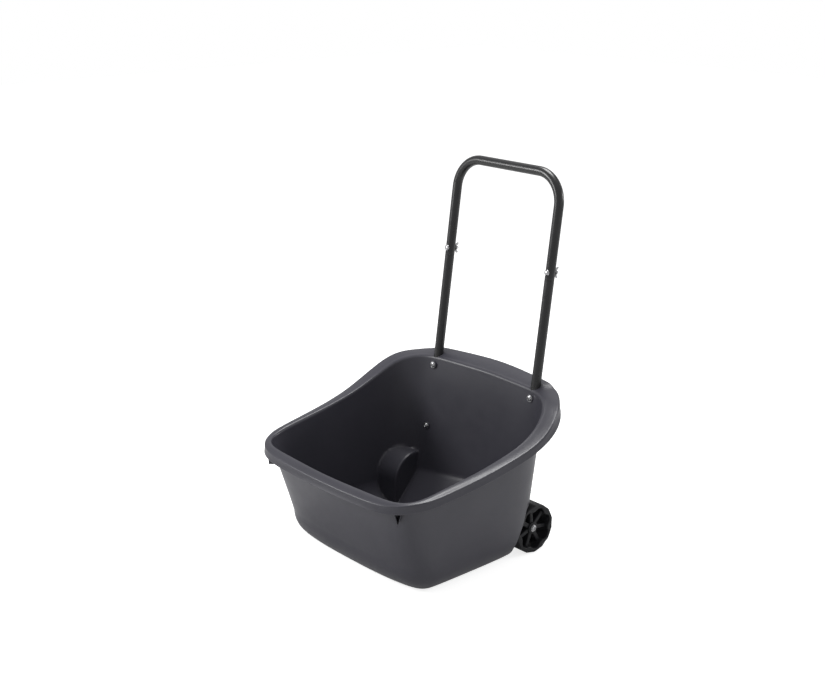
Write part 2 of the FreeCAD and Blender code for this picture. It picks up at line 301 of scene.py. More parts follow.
def mouldedPlastic(name, deep, light, rough, grain, scuffs, shine=0.45):
    # colour drifts slowly between two near shades; a fine moulded grain is in the bump,
    # and long faint rubs lighten the colour and dull the gloss
    f = Finish(name, specular=shine)
    drift = f.noise(5.0, 4.0, 0.6)
    base = f.ramp(drift, [(0.3, deep), (0.7, light)])
    speck = f.noise(1400.0, 2.0, 0.5)
    base = f.mix(f.grey(speck, 0.0, 0.12), base, tuple(c * 1.7 for c in light))
    rubs = f.noise(14.0, 6.0, 0.7, f.stretch((3.0, 3.0, 30.0), (0.5, 0.2, 0.4)))
    worn = f.grey(rubs, 0.0, scuffs, 0.58, 0.78)
    base = f.mix(worn, base, tuple(min(1.0, c * 2.2) for c in light))
    dull = f.grey(f.noise(38.0, 5.0, 0.65), rough - 0.02, rough + 0.03)
    dull = f.maths("ADD", dull, f.maths("MULTIPLY", worn, 0.25))
    skin = f.bump(f.noise(950.0, 3.0, 0.6), 0.28, grain)
    skin = f.bump(f.noise(9.0, 2.0, 0.5), 0.06, 0.004, skin)
    return f.finish(base, dull, skin)


def sprayedPaint(name, deep, light):
    # powder coat: a close orange peel, tiny pale dust and a few fine rubs along the tube
    f = Finish(name, specular=0.5)
    base = f.ramp(f.noise(11.0, 4.0, 0.6), [(0.3, deep), (0.7, light)])
    dust = f.grey(f.noise(2600.0, 1.0, 0.4), 0.0, 0.35, 0.7, 0.8)
    base = f.mix(dust, base, (0.10, 0.10, 0.10))
    rubs = f.noise(60.0, 5.0, 0.7, f.stretch((9.0, 9.0, 0.7), (-0.14, 0, 0)))
    worn = f.grey(rubs, 0.0, 0.18, 0.62, 0.80)
    base = f.mix(worn, base, (0.09, 0.09, 0.095))
    dull = f.grey(f.noise(70.0, 4.0, 0.6), 0.26, 0.36)
    dull = f.maths("ADD", dull, f.maths("MULTIPLY", worn, 0.5))
    return f.finish(base, dull, f.bump(f.noise(620.0, 2.0, 0.5), 0.16, 0.0003))


def platedSteel(name, bright, shade, rough, grainTurn):
    # bright zinc: cloudy tone, drawn lines across the part and small dull spots
    f = Finish(name, metallic=1.0)
    clouds = f.noise(220.0, 4.0, 0.6)
    base = f.ramp(clouds, [(0.3, shade), (0.68, bright)])
    lines = f.noise(300.0, 4.0, 0.7, f.stretch((0.25, 6.0, 6.0), grainTurn))
    spots = f.grey(f.noise(900.0, 2.0, 0.5), 0.0, 0.6, 0.62, 0.74)
    base = f.mix(spots, base, tuple(c * 0.55 for c in shade))
    dull = f.grey(lines, rough - 0.07, rough + 0.10)
    return f.finish(base, dull, f.bump(lines, 0.12, 0.00012))


def paleFloor():
    # pale and matt; it glows where it is seen and throws little of that back on the object
    f = Finish("paleFloor", specular=0.1)
    base = f.ramp(f.noise(3.0, 2.0), [(0.3, (0.60, 0.60, 0.60)), (0.7, (0.62, 0.62, 0.62))])
    f.shader.inputs["Emission Color"].default_value = (1.0, 1.0, 1.0, 1.0)
    seen = f.nodes.new("ShaderNodeLightPath").outputs["Is Camera Ray"]
    f.links.new(f.grey(seen, lightFacts["floorBounce"], lightFacts["floorGlow"], 0.0, 1.0),
                f.shader.inputs["Emission Strength"])
    return f.finish(base, f.grey(f.noise(20.0), 0.75, 0.85), f.bump(f.noise(300.0), 0.02, 0.0002))


finishes = {
    "tub": mouldedPlastic("tubPlastic", (0.034, 0.0335, 0.043), (0.042, 0.041, 0.052), 0.36, 0.00012, 0.05),
    "wheel": mouldedPlastic("wheelPlastic", (0.007, 0.007, 0.008), (0.011, 0.011, 0.013), 0.46, 0.00014,
                            0.10, 0.22),
    "plug": mouldedPlastic("plugPlastic", (0.010, 0.010, 0.011), (0.016, 0.016, 0.017), 0.40, 0.00012,
                           0.15),
    "paint": sprayedPaint("handlePaint", (0.010, 0.010, 0.011), (0.015, 0.015, 0.016)),
    "zinc": platedSteel("zincPlate", (0.56, 0.56, 0.57), (0.34, 0.34, 0.35), 0.27, (0.0, 0.3, 0.2)),
    "axle": platedSteel("drawnBar", (0.62, 0.62, 0.63), (0.40, 0.40, 0.41), 0.36, (0.0, 0.0, 0.0)),
}


def dress(piece, finish, slot, body, *nodes):
    # give a piece its finish, hide the CAD parts that it replaces and attach it to the body it moves with
    piece.data.materials.append(finishes[finish])
    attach(piece, body)
    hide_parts(*nodes)


floorMesh = bpy.data.meshes.new("floor")
floorMesh.from_pydata([(-9, -9, 0), (9, -9, 0), (9, 9, 0), (-9, 9, 0)], [], [(0, 1, 2, 3)])
floor = bpy.data.objects.new("floor", floorMesh)
floorMesh.materials.append(paleFloor())
bpy.context.scene.collection.objects.link(floor)
print("stage 2: camera, light and finishes made")


axlePlace = np.array([0.0, 150.0, 57.0])
tubFacts = {
    "around": 432,                # points round the tub
    "wall": 2.6,
    "baseHeight": 60.0, "baseRound": 60.0, "baseTurn": math.radians(76), "roundRows": 14,
    "insideRows": 56, "outsideRows": 22, "floorRows": 26,
    "edgeRound": 7.0,             # inner edge of the rim
    "outerRound": 3.4,            # outer edge of the rim
    "bow": 1.2, "backBow": 2.2,   # how far the top of the rim bulges, and how much more at the back
    "flare": 2.5, "frontFlare": 1.5, "rearFlare": 5.0,  # the skirt spreads outward towards its lip
    "inBox": 0.3,
    "crown": 5.2, "midCrown": 1.0,  # the back of the rim is raised, most in the middle
    "cornerDrop": 2.5,
    "droop": 3.8,                 # the outer edge hangs below the inner edge at the sides and front
    "lip": 2.6,
    "skirt": 18.0,
    "deepSkirt": 5.0,             # the skirt hangs lower beside the wheels
    "frontCorner": (245, -240, 50, 50),  # corners of the rim in plan: x, y and how far each reaches
    "rearCorner": (272, 155, 45, 50),
    "backCorner": (228, 205, 30, 40),
    "watcher": (0.0, -20.0, 260.0),  # a point inside the tub that sees the whole of its inner face
    "slopeAngle": math.radians(48.5), "slopeGap": 5.9,
    "wellRadius": 63.5, "wellFace": 176.5, "wellDraft": 0.126,
    "humpRound": 5.0,             # width over which the edges of the wheel humps are rounded
    "moulded": 4.5,               # width over which inside corners are rounded
    "basePlan": [(0, -219), (94, -217), (172, -208), (214, -191), (233, -165), (238, -120), (238.5, -20),
                 (237, 61), (226, 117), (192, 148), (150, 157.5), (80, 163), (0, 168)],
    "rimPlan": [(0, -264), (125, -260), (211, -251), (247, -216), (255, -152), (259, -70), (261, 0),
                (261, 80), (245, 141), (213, 178), (167, 199.5), (90, 207), (0, 211)],
    "edgePlan": [(0, -288), (131, -284), (219, -266), (262, -222), (276, -170), (283, -90), (290, 0),
                 (296, 70), (290, 125), (268, 171), (232, 211), (185, 236), (100, 250), (0, 258)],
    "rimSide": [(-330, 227), (-264, 234), (-180, 248), (-90, 261), (0, 278), (60, 296), (115, 322),
                (160, 347), (205, 361), (262, 369), (320, 374)],
}


def rimHeight(y):
    # natural cubic through the side view of the rim
    k = np.array(tubFacts["rimSide"], float)
    h = np.diff(k[:, 0])
    n = len(k)
    m = np.zeros((n, n))
    r = np.zeros(n)
    m[0, 0] = m[-1, -1] = 1
    i = np.arange(1, n - 1)
    m[i, i - 1] = h[:-1]
    m[i, i] = 2 * (h[:-1] + h[1:])
    m[i, i + 1] = h[1:]
    d = np.diff(k[:, 1]) / h
    r[1:-1] = 6 * np.diff(d)
    c = np.linalg.solve(m, r)
    j = np.clip(np.searchsorted(k[:, 0], y) - 1, 0, n - 2)
    a = (k[j + 1, 0] - y) / h[j]
    b = 1 - a
    return a * k[j, 1] + b * k[j + 1, 1] + ((a ** 3 - a) * c[j] + (b ** 3 - b) * c[j + 1]) * h[j] ** 2 / 6


def tubRows(inset, top, wallRows):
    # quarter round at the floor and a straight wall up to the rows in top, moved inward by inset;
    # each wall point lies on the line from the base outline to the rim outline
    f = tubFacts
    base = ringLoop(f["basePlan"], f["around"])
    rim = ringLoop(f["rimPlan"], f["around"])
    radius = f["baseRound"] - inset
    out = outNormal(base)
    rows = []
    for turn in np.linspace(f["baseTurn"], 0, f["roundRows"], endpoint=False):
        ring = base - out * (inset + radius * (1 - math.cos(turn)))
        height = f["baseHeight"] - radius * math.sin(turn) / math.sin(f["baseTurn"])
        rows.append(np.column_stack([ring, np.full(len(ring), height)]))
    rimZ = rimHeight(rim[:, 1])
    for share in np.linspace(0, 1, wallRows):
        z = f["baseHeight"] + (top - f["baseHeight"]) * share
        k = (z - f["baseHeight"]) / (rimZ - f["baseHeight"])
        ring = base + (rim - base) * k[:, None]
        rows.append(np.column_stack([ring - outNormal(ring) * inset, z]))
    return np.array(rows)


def insideFeatures(points, centre):
    # pull points of the plain inside towards the centre where the sloping panel and the two wheel
    # humps stand in the way: share of the ray that is free, corners rounded
    f = tubFacts
    ray = points - centre
    length = np.linalg.norm(ray, axis=-1)
    normal = np.array([0.0, -math.sin(f["slopeAngle"]), math.cos(f["slopeAngle"])])
    start = (axlePlace + normal * (f["slopeGap"] + f["wall"]) - centre) @ normal
    toPlane = start / np.minimum(ray @ normal, -1e-6)
    free = quietMin(np.ones_like(length), np.where(toPlane > 0, toPlane, 9.0), f["moulded"] / length)
    for side in (-1, 1):
        dx = ray[..., 0] * side
        x0 = f["wellFace"] - f["wall"]
        toFace = np.where(dx > 1e-6, x0 / np.maximum(dx, 1e-6), 9.0)
        # cone whose radius grows with the draft: |(y, z) - axle| = r(x), upper half only
        r0 = f["wellRadius"] + f["wall"] - f["wellDraft"] * f["wellFace"]
        rx = f["wellDraft"] * dx
        py = centre[1] - axlePlace[1]
        pz = centre[2] - axlePlace[2]
        a = ray[..., 1] ** 2 + ray[..., 2] ** 2 - rx ** 2
        b = 2 * (py * ray[..., 1] + pz * ray[..., 2] - r0 * rx)
        c = py ** 2 + pz ** 2 - r0 ** 2
        disc = b * b - 4 * a * c
        cone = np.where((disc > 0) & (np.abs(a) > 1e-9), (-b - np.sqrt(np.maximum(disc, 0))) / (2 * a), 9.0)
        coneZ = centre[2] + cone * ray[..., 2]
        # flat front below the axle height: y = axle - r(x)
        forward = ray[..., 1] + rx
        front = (axlePlace[1] - r0 - centre[1]) / np.where(np.abs(forward) > 1e-6, forward, 1e-6)
        frontZ = centre[2] + front * ray[..., 2]
        arch = np.where((coneZ >= axlePlace[2]) & (cone > 0), cone, 9.0)
        flat = np.where((frontZ < axlePlace[2]) & (front > 0), front, 9.0)
        profile = np.minimum(arch, flat)
        hump = quietMax(toFace, profile, f["humpRound"] / length)
        free = quietMin(free, hump, f["moulded"] * 0.8 / length)
    return centre + ray * free[..., None]


def edgeShape(rim, edge):
    # how the rim changes round the tub: height of its outer edge, fall to that edge, bulge of its top,
    # and how far the skirt's top stands in from the outline and its lip out again
    f = tubFacts
    spread = np.abs(edge[:, 0])
    y = edge[:, 1]
    back = smoothStep((y - 120) / 110)          # 1 on the broad flange at the back
    middle = smoothStep((205 - spread) / 30)    # 1 between the back corners
    front = smoothStep((-y - 200) / 60)
    frontCorner = hill(spread, y, f["frontCorner"])
    crown = f["crown"] * middle + f["midCrown"] * np.clip(1 - (spread / 170) ** 2, 0, 1)
    fall = (f["droop"] * (1 - back) * (1 - frontCorner) - crown * back
            + f["cornerDrop"] * hill(spread, y, f["backCorner"]))
    top = rimHeight(np.minimum(y, 262)) - fall
    bow = f["bow"] + f["backBow"] * back * middle
    # the skirt stands upright at the front corners and at the back, and spreads most at the front
    flare = (f["flare"] + f["frontFlare"] * front) * smoothStep((100 - y) / 90) * (1 - 0.8 * frontCorner)
    lean = flare + f["rearFlare"] * hill(spread, y, f["rearCorner"])
    return top, fall, bow, flare, lean[:, None]


def buildTubShell():
    # closed shell in one grid of rings: up the inside from the middle of the floor, over the inner
    # edge, across the rim, down the skirt, back under the rim and down the outside
    f = tubFacts
    rim = ringLoop(f["rimPlan"], f["around"])
    edge = ringLoop(f["edgePlan"], f["around"])
    rimTop = rimHeight(rim[:, 1])
    edgeTop, fall, bow, flare, lean = edgeShape(rim, edge)
    wall = f["wall"]
    rollIn, rollOut = f["edgeRound"], f["outerRound"]

    inner = tubRows(wall, rimTop - rollIn - 1.0, f["insideRows"])
    middleOfFloor = inner[0].mean(0)
    floorRows = [middleOfFloor + (inner[0] - middleOfFloor) * share
                 for share in np.linspace(0.01, 1, f["floorRows"])[:-1]]
    inner = insideFeatures(np.concatenate([floorRows, inner]), np.array(f["watcher"]))
    outer = tubRows(0.0, rimTop - wall - 4.0, f["outsideRows"])

    across = unit(edge - rim)
    edge = edge - across * (flare + f["inBox"])[:, None]
    last = inner[-1]
    rows = []
    for turn in np.radians(np.arange(10, 91, 10)):
        flat = last[:, :2] + across * (rollIn * (1 - np.cos(turn)))
        flat = flat + across * 0.35 * np.sin(turn)
        rows.append(np.column_stack([flat, last[:, 2] + (rollIn + 1.0) * np.sin(turn)]))
    first = rows[-1]
    span = np.linalg.norm(edge - first[:, :2], axis=-1) - rollOut
    for share in np.linspace(0, 1, 10)[1:]:
        # a bow above the line that falls to the outer edge
        rise = bow * np.sin(math.pi * share) * (1 - 0.35 * share)
        flat = first[:, :2] + across * (span * share)[:, None]
        drop = (first[:, 2] - edgeTop) * share ** 1.25
        rows.append(np.column_stack([flat, first[:, 2] - drop + rise - 0.02]))
    corner = rows[-1]
    for turn in np.radians(np.arange(15, 91, 15)):
        flat = corner[:, :2] + across * (rollOut * np.sin(turn))
        rows.append(np.column_stack([flat, corner[:, 2] - rollOut * (1 - np.cos(turn))]))
    brim = rows[-1]
    low = brim[:, 2] - (f["skirt"] - rollOut) + fall * 0.55
    low = low - f["deepSkirt"] * np.exp(-((edge[:, 1] - 150) / 55) ** 2)
    for share in np.linspace(0, 1, 8)[1:]:
        flat = brim[:, :2] + across * lean * share ** 1.4
        rows.append(np.column_stack([flat, brim[:, 2] + (low - brim[:, 2]) * share]))
    lip = rows[-1]
    halfLip = f["lip"] / 2
    for turn in np.radians(np.arange(30, 181, 30)):
        flat = lip[:, :2] - across * (halfLip * (1 - np.cos(turn)))
        rows.append(np.column_stack([flat, lip[:, 2] - halfLip * np.sin(turn)]))
    under = rows[-1]
    ceiling = corner[:, 2] - wall - 0.8
    for share in np.linspace(0, 1, 5)[1:]:
        flat = under[:, :2] - across * lean * (1 - (1 - share) ** 1.4)
        rows.append(np.column_stack([flat, under[:, 2] + (ceiling - under[:, 2]) * share]))
    turnIn = rows[-1]
    target = np.column_stack([outer[-1][:, :2], first[:, 2] - wall - 3.4])
    for share in np.linspace(0, 1, 9)[1:-1]:
        rows.append(turnIn * (1 - share) + target * share)
    return gridSurface(np.concatenate([inner, np.array(rows), outer[::-1]]))


def wellCutter(inner, outer, backTo=330.0, lowTo=-25.0):
    # wheel pocket: a half round over the axle, straight sides down, open to the back;
    # inner and outer are x as functions of (y, z) at the two ends
    f = tubFacts
    turn = np.linspace(math.pi, math.pi / 2, 25)
    ends = []
    for xAt in (inner, outer):
        r = f["wellRadius"] + f["wellDraft"] * (xAt(150.0, 60.0) - f["wellFace"])
        y = axlePlace[1] + r * np.cos(turn)
        z = axlePlace[2] + r * np.sin(turn)
        ys = np.concatenate([y, np.linspace(y[-1], backTo, 6)[1:], [backTo] * 5,
                             np.linspace(backTo, y[0], 12)[1:-1], [y[0]] * 5])
        zs = np.concatenate([z, [z[-1]] * 5, np.linspace(z[-1], lowTo, 6)[1:], [lowTo] * 10,
                             np.linspace(lowTo, z[0], 6)[:-1]])
        ends.append(np.column_stack([xAt(ys, zs) + 0 * ys, ys, zs]))
    rows = [ends[0] * (1 - s) + ends[1] * s for s in np.linspace(0, 1, 8)]
    return gridSurface(np.array(rows))


def slab(corners, depth):
    # flat polygon carried along a vector
    c = np.array(corners, float)
    return gridSurface(np.array([c, c + np.array(depth, float)]))


def rodPart(a, b, radius, sides=48):
    # plain round bar from a to b
    a, b = np.array(a, float), np.array(b, float)
    axis = unit(b - a)
    side = unit(np.cross(axis, xAxis if abs(axis[0]) < 0.9 else zAxis))
    other = np.cross(axis, side)
    u = np.linspace(0, 2 * math.pi, sides, endpoint=False)[:, None]
    ring = radius * (np.cos(u) * side + np.sin(u) * other)
    return gridSurface(np.array([a + ring, b + ring]))


def carve(piece, tool, how):
    # cut, join or keep what two solids share, and put the result in the piece's own mesh
    step = piece.modifiers.new("carve", "BOOLEAN")
    step.operation = how
    step.solver = "EXACT"
    step.object = tool
    bpy.context.view_layer.update()
    graph = bpy.context.evaluated_depsgraph_get()
    mesh = bpy.data.meshes.new_from_object(piece.evaluated_get(graph))
    piece.modifiers.clear()
    piece.data = mesh
    bpy.data.objects.remove(tool)
    print("  ", how.lower(), len(mesh.polygons), "faces")


legFacts = {
    "lean": math.radians(8.0), "x": 160.0, "y": 210.5, "z": 359.4,
    "low": -206.0, "split": 246.0, "top": 476.2, "bend": 68.0, "radius": 11.0, "bore": 9.5,
    "screws": (-22.5, -173.5), "joint": 262.0, "padDepth": 15.6, "padRadius": 9.5,
}
along = np.array([0.0, math.sin(legFacts["lean"]), math.cos(legFacts["lean"])])
backward = np.array([0.0, math.cos(legFacts["lean"]), -math.sin(legFacts["lean"])])


def legPoint(side, s):
    # place on a leg's middle line, s millimetres up from the leg's reference point
    return np.array([side * legFacts["x"], legFacts["y"], legFacts["z"]]) + along * s


hookFacts = {
    "tip": 185.0, "top": 228.0, "half": 11.8, "wall": 1.7, "blunt": 0.7,
    "fromTop": 324.6, "fromTip": 311.7, "slant": 0.37,   # the start follows the wall
    "to": 335.2, "hollow": 319.0, "shift": 21.2,
}


def hookPart(side, hollow):
    # V-shaped gutter along the corner diagonal; the hollow one is smaller and runs out of the end
    h = hookFacts
    out = np.array([side, -1.0, 0.0]) / math.sqrt(2)
    acrossWay = np.array([-out[1], out[0], 0.0])
    thin = h["wall"] if hollow else 0.0
    half = h["half"] - 1.05 * thin
    end = 400.0 if hollow else h["to"]
    tip = h["tip"] + 3.0 * thin
    top = h["top"] + (10.0 if hollow else 0.0)
    half *= (top - tip) / (h["top"] - tip)
    section = [(half, top), (-half, top), (-h["blunt"], tip + 0.6), (0.0, tip), (h["blunt"], tip + 0.6)]
    rings = []
    for far in (False, True):
        ring = []
        for w, z in section:
            share = (h["top"] - z) / (h["top"] - h["tip"])
            near = h["fromTop"] + (h["fromTip"] - h["fromTop"]) * share + h["slant"] * side * w
            near = h["hollow"] if hollow else near
            ring.append(out * (end if far else near) + acrossWay * (w - side * h["shift"]) + zAxis * z)
        rings.append(ring)
    return gridSurface(np.array(rings))


def ribPart(x):
    # rib that carries the axle under the sloping panel
    outline = [(135.0, 47.0), (161.0, 47.0), (161.0, 71.0), (152.8, 71.0), (135.0, 50.9)]
    return slab([(x - 6, y, z) for y, z in outline], [12, 0, 0])


flipMatrix = Matrix.Scale(-1, 4, (1, 0, 0))


def buildTub():
    # the shell, less what lies behind the sloping panel, the wheel pockets and the bores,
    # plus the hooks, the axle supports and the pads for the legs
    f = tubFacts
    tub = makePiece("tubShell", [buildTubShell()])
    normal = np.array([0.0, -math.sin(f["slopeAngle"]), math.cos(f["slopeAngle"])])
    way = np.array([0.0, math.cos(f["slopeAngle"]), math.sin(f["slopeAngle"])])
    p = axlePlace + normal * f["slopeGap"] + np.array([-340.0, 0, 0])
    low, high = p - way * 400, p + way * 400
    wedge = slab([low, high, high - normal * 300, low - normal * 300], [680, 0, 0])
    carve(tub, makePiece("behindSlope", [wedge]), "DIFFERENCE")

    # pockets stop inside the side wall, and break out of it behind the mouth's edge
    def insideWall(y, z):
        return 234.2 - 0.12 * (y - 61) + 0.06 * (z - 60)
    pocket = wellCutter(lambda y, z: f["wellFace"], insideWall)
    carve(tub, makePiece("pockets", [pocket, mirrored(pocket)]), "DIFFERENCE")
    mouthEdge = [(126, 140), (115, 116), (104, 84), (88, 52), (79, 30), (70, -24), (329, -24), (329, 140)]
    for side in (1, -1):
        mouth = makePiece("mouth", [wellCutter(lambda y, z: 205.0, lambda y, z: 329.0)])
        edge = slab([(200.0, y, z) for y, z in mouthEdge], [140, 0, 0])
        carve(mouth, makePiece("mouthEdge", [edge]), "INTERSECT")
        if side < 0:
            mouth.data.transform(flipMatrix)
            mouth.data.flip_normals()
        carve(tub, mouth, "DIFFERENCE")

    hooks = makePiece("hooks", [hookPart(-1, False), hookPart(1, False)])
    carve(hooks, makePiece("hookHollows", [hookPart(-1, True), hookPart(1, True)]), "DIFFERENCE")
    carve(tub, hooks, "UNION")
    adders = [ribPart(x) for x in (-120.0, -40.0, 40.0, 120.0)]
    holes = [rodPart(axlePlace - xAxis * 209, axlePlace + xAxis * 209, 5.05)]
    for side in (-1, 1):
        for s in legFacts["screws"]:
            a = legPoint(side, s)
            pad = rodPart(a - backward * legFacts["padDepth"], a - backward * 6, legFacts["padRadius"])
            adders.append(pad)
        holes.append(rodPart(legPoint(side, -209.5), legPoint(side, 70), legFacts["radius"] + 0.6, 64))
    carve(tub, makePiece("ribsAndPads", adders), "UNION")
    carve(tub, makePiece("holes", holes), "DIFFERENCE")
    return tub


tubPiece = buildTub()
tubPiece.data.polygons.foreach_set("use_smooth", np.ones(len(tubPiece.data.polygons), bool))
tubPiece.data.set_sharp_from_angle(angle=math.radians(30))
tubPiece.data.materials.clear()
dress(tubPiece, "tub", "tub_plastic", "cart", "tub")
print("stage 3: tub made")


def turned(origin, axis, profile, sides=48, bored=False):
    # a profile of (distance along the axis, radius, sixSided) turned about the axis;
    # a six-sided row takes its radius across the flats
    axis = unit(axis)
    side = unit(np.cross(axis, xAxis if abs(axis[0]) < 0.9 else zAxis))
    other = np.cross(axis, side)
    u = np.linspace(0, 2 * math.pi, sides, endpoint=False)
    flat = 1.0 / np.cos(np.mod(u, math.pi / 3) - math.pi / 6)
    rows = []
    for row in profile:
        r = row[1] * (flat if len(row) > 2 else np.ones(sides))
        rows.append(np.array(origin) + axis * row[0]
                    + (r * np.cos(u))[:, None] * side + (r * np.sin(u))[:, None] * other)
    return loopedSurface(np.array(rows)) if bored else gridSurface(np.array(rows))


def bent(path, normal, radius, bore, sides=64):
    # round tube along a flat path: outer skin out, bore back, the ends a little rounded
    step = np.gradient(path, axis=0)
    step = unit(step)
    other = np.cross(step, normal)
    u = np.linspace(0, 2 * math.pi, sides, endpoint=False)

    def skin(points, others, r):
        return (points[:, None] + r * (np.cos(u)[None, :, None] * np.asarray(normal)[None, None]
                                       + np.sin(u)[None, :, None] * others[:, None]))
    tips = path[[0, -1]]
    rows = [skin(tips[:1] + step[:1] * 0.4, other[:1], bore),
            skin(tips[:1], other[:1], bore + 0.3),
            skin(tips[:1], other[:1], radius - 0.5),
            skin(tips[:1] + step[:1] * 0.15, other[:1], radius - 0.15),
            skin(path[:1] + step[:1] * 0.5, other[:1], radius),
            skin(path[1:-1], other[1:-1], radius),
            skin(path[-1:] - step[-1:] * 0.5, other[-1:], radius),
            skin(tips[1:] - step[-1:] * 0.15, other[-1:], radius - 0.15),
            skin(tips[1:], other[-1:], radius - 0.5),
            skin(tips[1:], other[-1:], bore + 0.3),
            skin(path[-1:] - step[-1:] * 0.4, other[-1:], bore),
            skin(path[1:-1][::-1], other[1:-1][::-1], bore)]
    return loopedSurface(np.concatenate(rows))


def handlePath():
    # up one leg, a quarter bend, the grip, a quarter bend and down the other leg
    f = legFacts
    start, top, r = f["split"] + 0.5, f["top"], f["bend"]
    turn = np.linspace(0, math.pi / 2, 25)
    up = [legPoint(-1, s) for s in np.linspace(start, top - r, 26)[:-1]]
    bendA = [legPoint(-1, top - r) + along * r * math.sin(t) + xAxis * r * (1 - math.cos(t)) for t in turn]
    a, b = bendA[-1], bendA[-1] * [-1, 1, 1]
    grip = [a + (b - a) * s for s in np.linspace(0, 1, 20)[1:-1]]
    half = up + bendA
    return np.array(half + grip + [q * [-1, 1, 1] for q in half[::-1]])


fastenerFacts = {
    # head of a button screw from its face up, over the rim of its hexagon socket and down inside it
    "buttonHead": [(0.0, 6.3), (0.25, 6.5), (0.9, 6.5), (1.6, 6.15), (2.2, 5.5), (2.6, 4.7), (2.8, 3.9),
                   (2.8, 3.35), (2.8, 3.3, 6), (2.6, 3.15, 6), (0.4, 3.0, 6), (-0.6, 2.2), (-2.4, 0.4)],
    "boltHead": [(0.0, 3.2), (0.0, 6.6), (0.4, 7.0), (1.1, 6.8), (2.0, 6.0), (2.8, 4.8), (3.3, 3.2),
                 (3.55, 1.5), (3.6, 0.5)],
    # ear of a wing nut: distance out along the bolt, and away from it
    "ear": [(1.2, 3.0), (1.6, 5.6), (3.4, 9.2), (6.2, 12.2), (9.2, 12.9), (11.0, 11.2), (9.4, 7.8),
            (6.2, 4.4), (4.6, 2.6)],
    "earPoints": 54,
    "wingCore": [(0.4, 3.05), (0.0, 3.4), (0.0, 5.3), (0.4, 5.6), (3.0, 5.2), (5.5, 4.6), (6.0, 4.2),
                 (6.0, 3.4), (5.6, 3.05)],
}


def buttonScrew(face, direction, length):
    # shank into the work, domed head with a hexagon socket
    shank = [(-length, 2.3), (-length + 0.7, 3.0), (-0.4, 3.0), (0.0, 3.1)]
    return turned(face, -direction, shank + fastenerFacts["buttonHead"])


def washerPart(face, direction, outer, bore, thick):
    # flat ring with its four edges broken by c
    c = 0.25
    section = [(c, bore), (0.0, bore + c), (0.0, outer - c), (c, outer), (thick - c, outer),
               (thick, outer - c), (thick, bore + c), (thick - c, bore)]
    return turned(face, direction, section, bored=True)


def nutPart(face, direction, across, thick, bore):
    # six flats, with both faces rounded off and both ends of the bore opened a little
    a = across / 2
    section = [(0.5, bore), (0.0, bore + 0.5), (0.0, a * 0.97), (0.5, a, 6), (thick - 0.5, a, 6),
               (thick, a * 0.97), (thick, bore + 0.5), (thick - 0.5, bore)]
    return turned(face, direction, section, bored=True)


def saddlePart(side):
    # washer with one face hollowed to sit on the tube: depth follows the tube's circle
    a = legPoint(side, legFacts["joint"])
    u = np.linspace(0, 2 * math.pi, 48, endpoint=False)
    rows = []
    for r, onTube, back in ((3.3, False, 13.4), (3.6, False, 13.6), (7.6, False, 13.6), (8.0, False, 13.2),
                            (8.0, True, 0.15), (7.7, True, 0.0), (3.5, True, 0.0), (3.3, True, 0.2)):
        depth = np.sqrt(11.05 ** 2 - (r * np.cos(u)) ** 2) + back if onTube else np.full(48, back)
        rows.append(a + (r * np.cos(u))[:, None] * xAxis + (r * np.sin(u))[:, None] * along
                    + depth[:, None] * backward)
    return loopedSurface(np.array(rows))


def wingPart(base, way):
    # one ear of the wing nut: a rounded outline carried across its thickness
    d = along * way
    line = closedCurve(np.array(fastenerFacts["ear"]), fastenerFacts["earPoints"])
    middle = line.mean(0)
    rows = []
    for x, shrink in ((-1.2, 0.86), (-1.0, 0.95), (-0.6, 1.0), (0.6, 1.0), (1.0, 0.95), (1.2, 0.86)):
        p = middle + (line - middle) * shrink
        rows.append(base + p[:, :1] * backward + p[:, 1:] * d + x * xAxis)
    return gridSurface(np.array(rows))


# handle, legs and the joint between them
handleTube = bent(handlePath(), backward, legFacts["radius"] - 0.02, legFacts["bore"])
dress(makePiece("handleTube", [handleTube]), "paint", "handle_paint", "cart", "handle_upper")
for side, word in ((-1, "left"), (1, "right")):
    f = legFacts
    low, split = f["low"], f["split"]
    # tube leg with a spigot at the top that enters the handle
    tube = [(s, 11.0) for s in np.linspace(low + 8, split - 8, 30)]
    spigot = [(split - 0.4, 11.0), (split, 10.6), (split, 9.45), (split + 37, 9.45), (split + 38, 8.8),
              (split + 38, 8.0), (split - 8, 8.0), (split - 8, 9.5), (low + 0.4, 9.5)]
    foot = [(low, 9.6), (low, 10.6), (low + 0.4, 11.0)]
    leg = turned(legPoint(side, 0), along, foot + tube + spigot, 64, True)
    dress(makePiece("leg." + word, [leg]), "paint", "handle_paint", "cart", "handle_lower_" + word)
    plugShape = [(-2.5, 8.6), (-2.4, 9.8), (-1.6, 10.8), (-0.1, 11.0), (-0.02, 10.6), (-0.02, 9.45),
                 (13.0, 9.45), (14.0, 8.9), (14.0, 7.5), (2.0, 7.5)]
    plug = turned(legPoint(side, low), along, plugShape, 64)
    dress(makePiece("legPlug." + word, [plug]), "plug", "plug_plastic", "cart", "leg_plug_" + word)
    a = legPoint(side, f["joint"])
    shank = [(-35.0, 2.4), (-34.4, 3.0), (-0.3, 3.0)]
    bolt = turned(a - backward * 11.05, -backward, shank + fastenerFacts["boltHead"])
    dress(makePiece("jointBolt." + word, [bolt]), "zinc", "zinc_steel", "cart", "joint_bolt_" + word)
    saddle = makePiece("saddleWasher." + word, [saddlePart(side)])
    dress(saddle, "plug", "plug_plastic", "cart", "joint_washer_" + word)
    base = a + backward * 13.7
    core = turned(base, backward, fastenerFacts["wingCore"], bored=True)
    wingNut = makePiece("wingNut." + word, [core, wingPart(base, 1), wingPart(base, -1)])
    dress(wingNut, "zinc", "zinc_steel", word + "_wing_nut", "wing_nut_" + word)
print("stage 4: handle made")

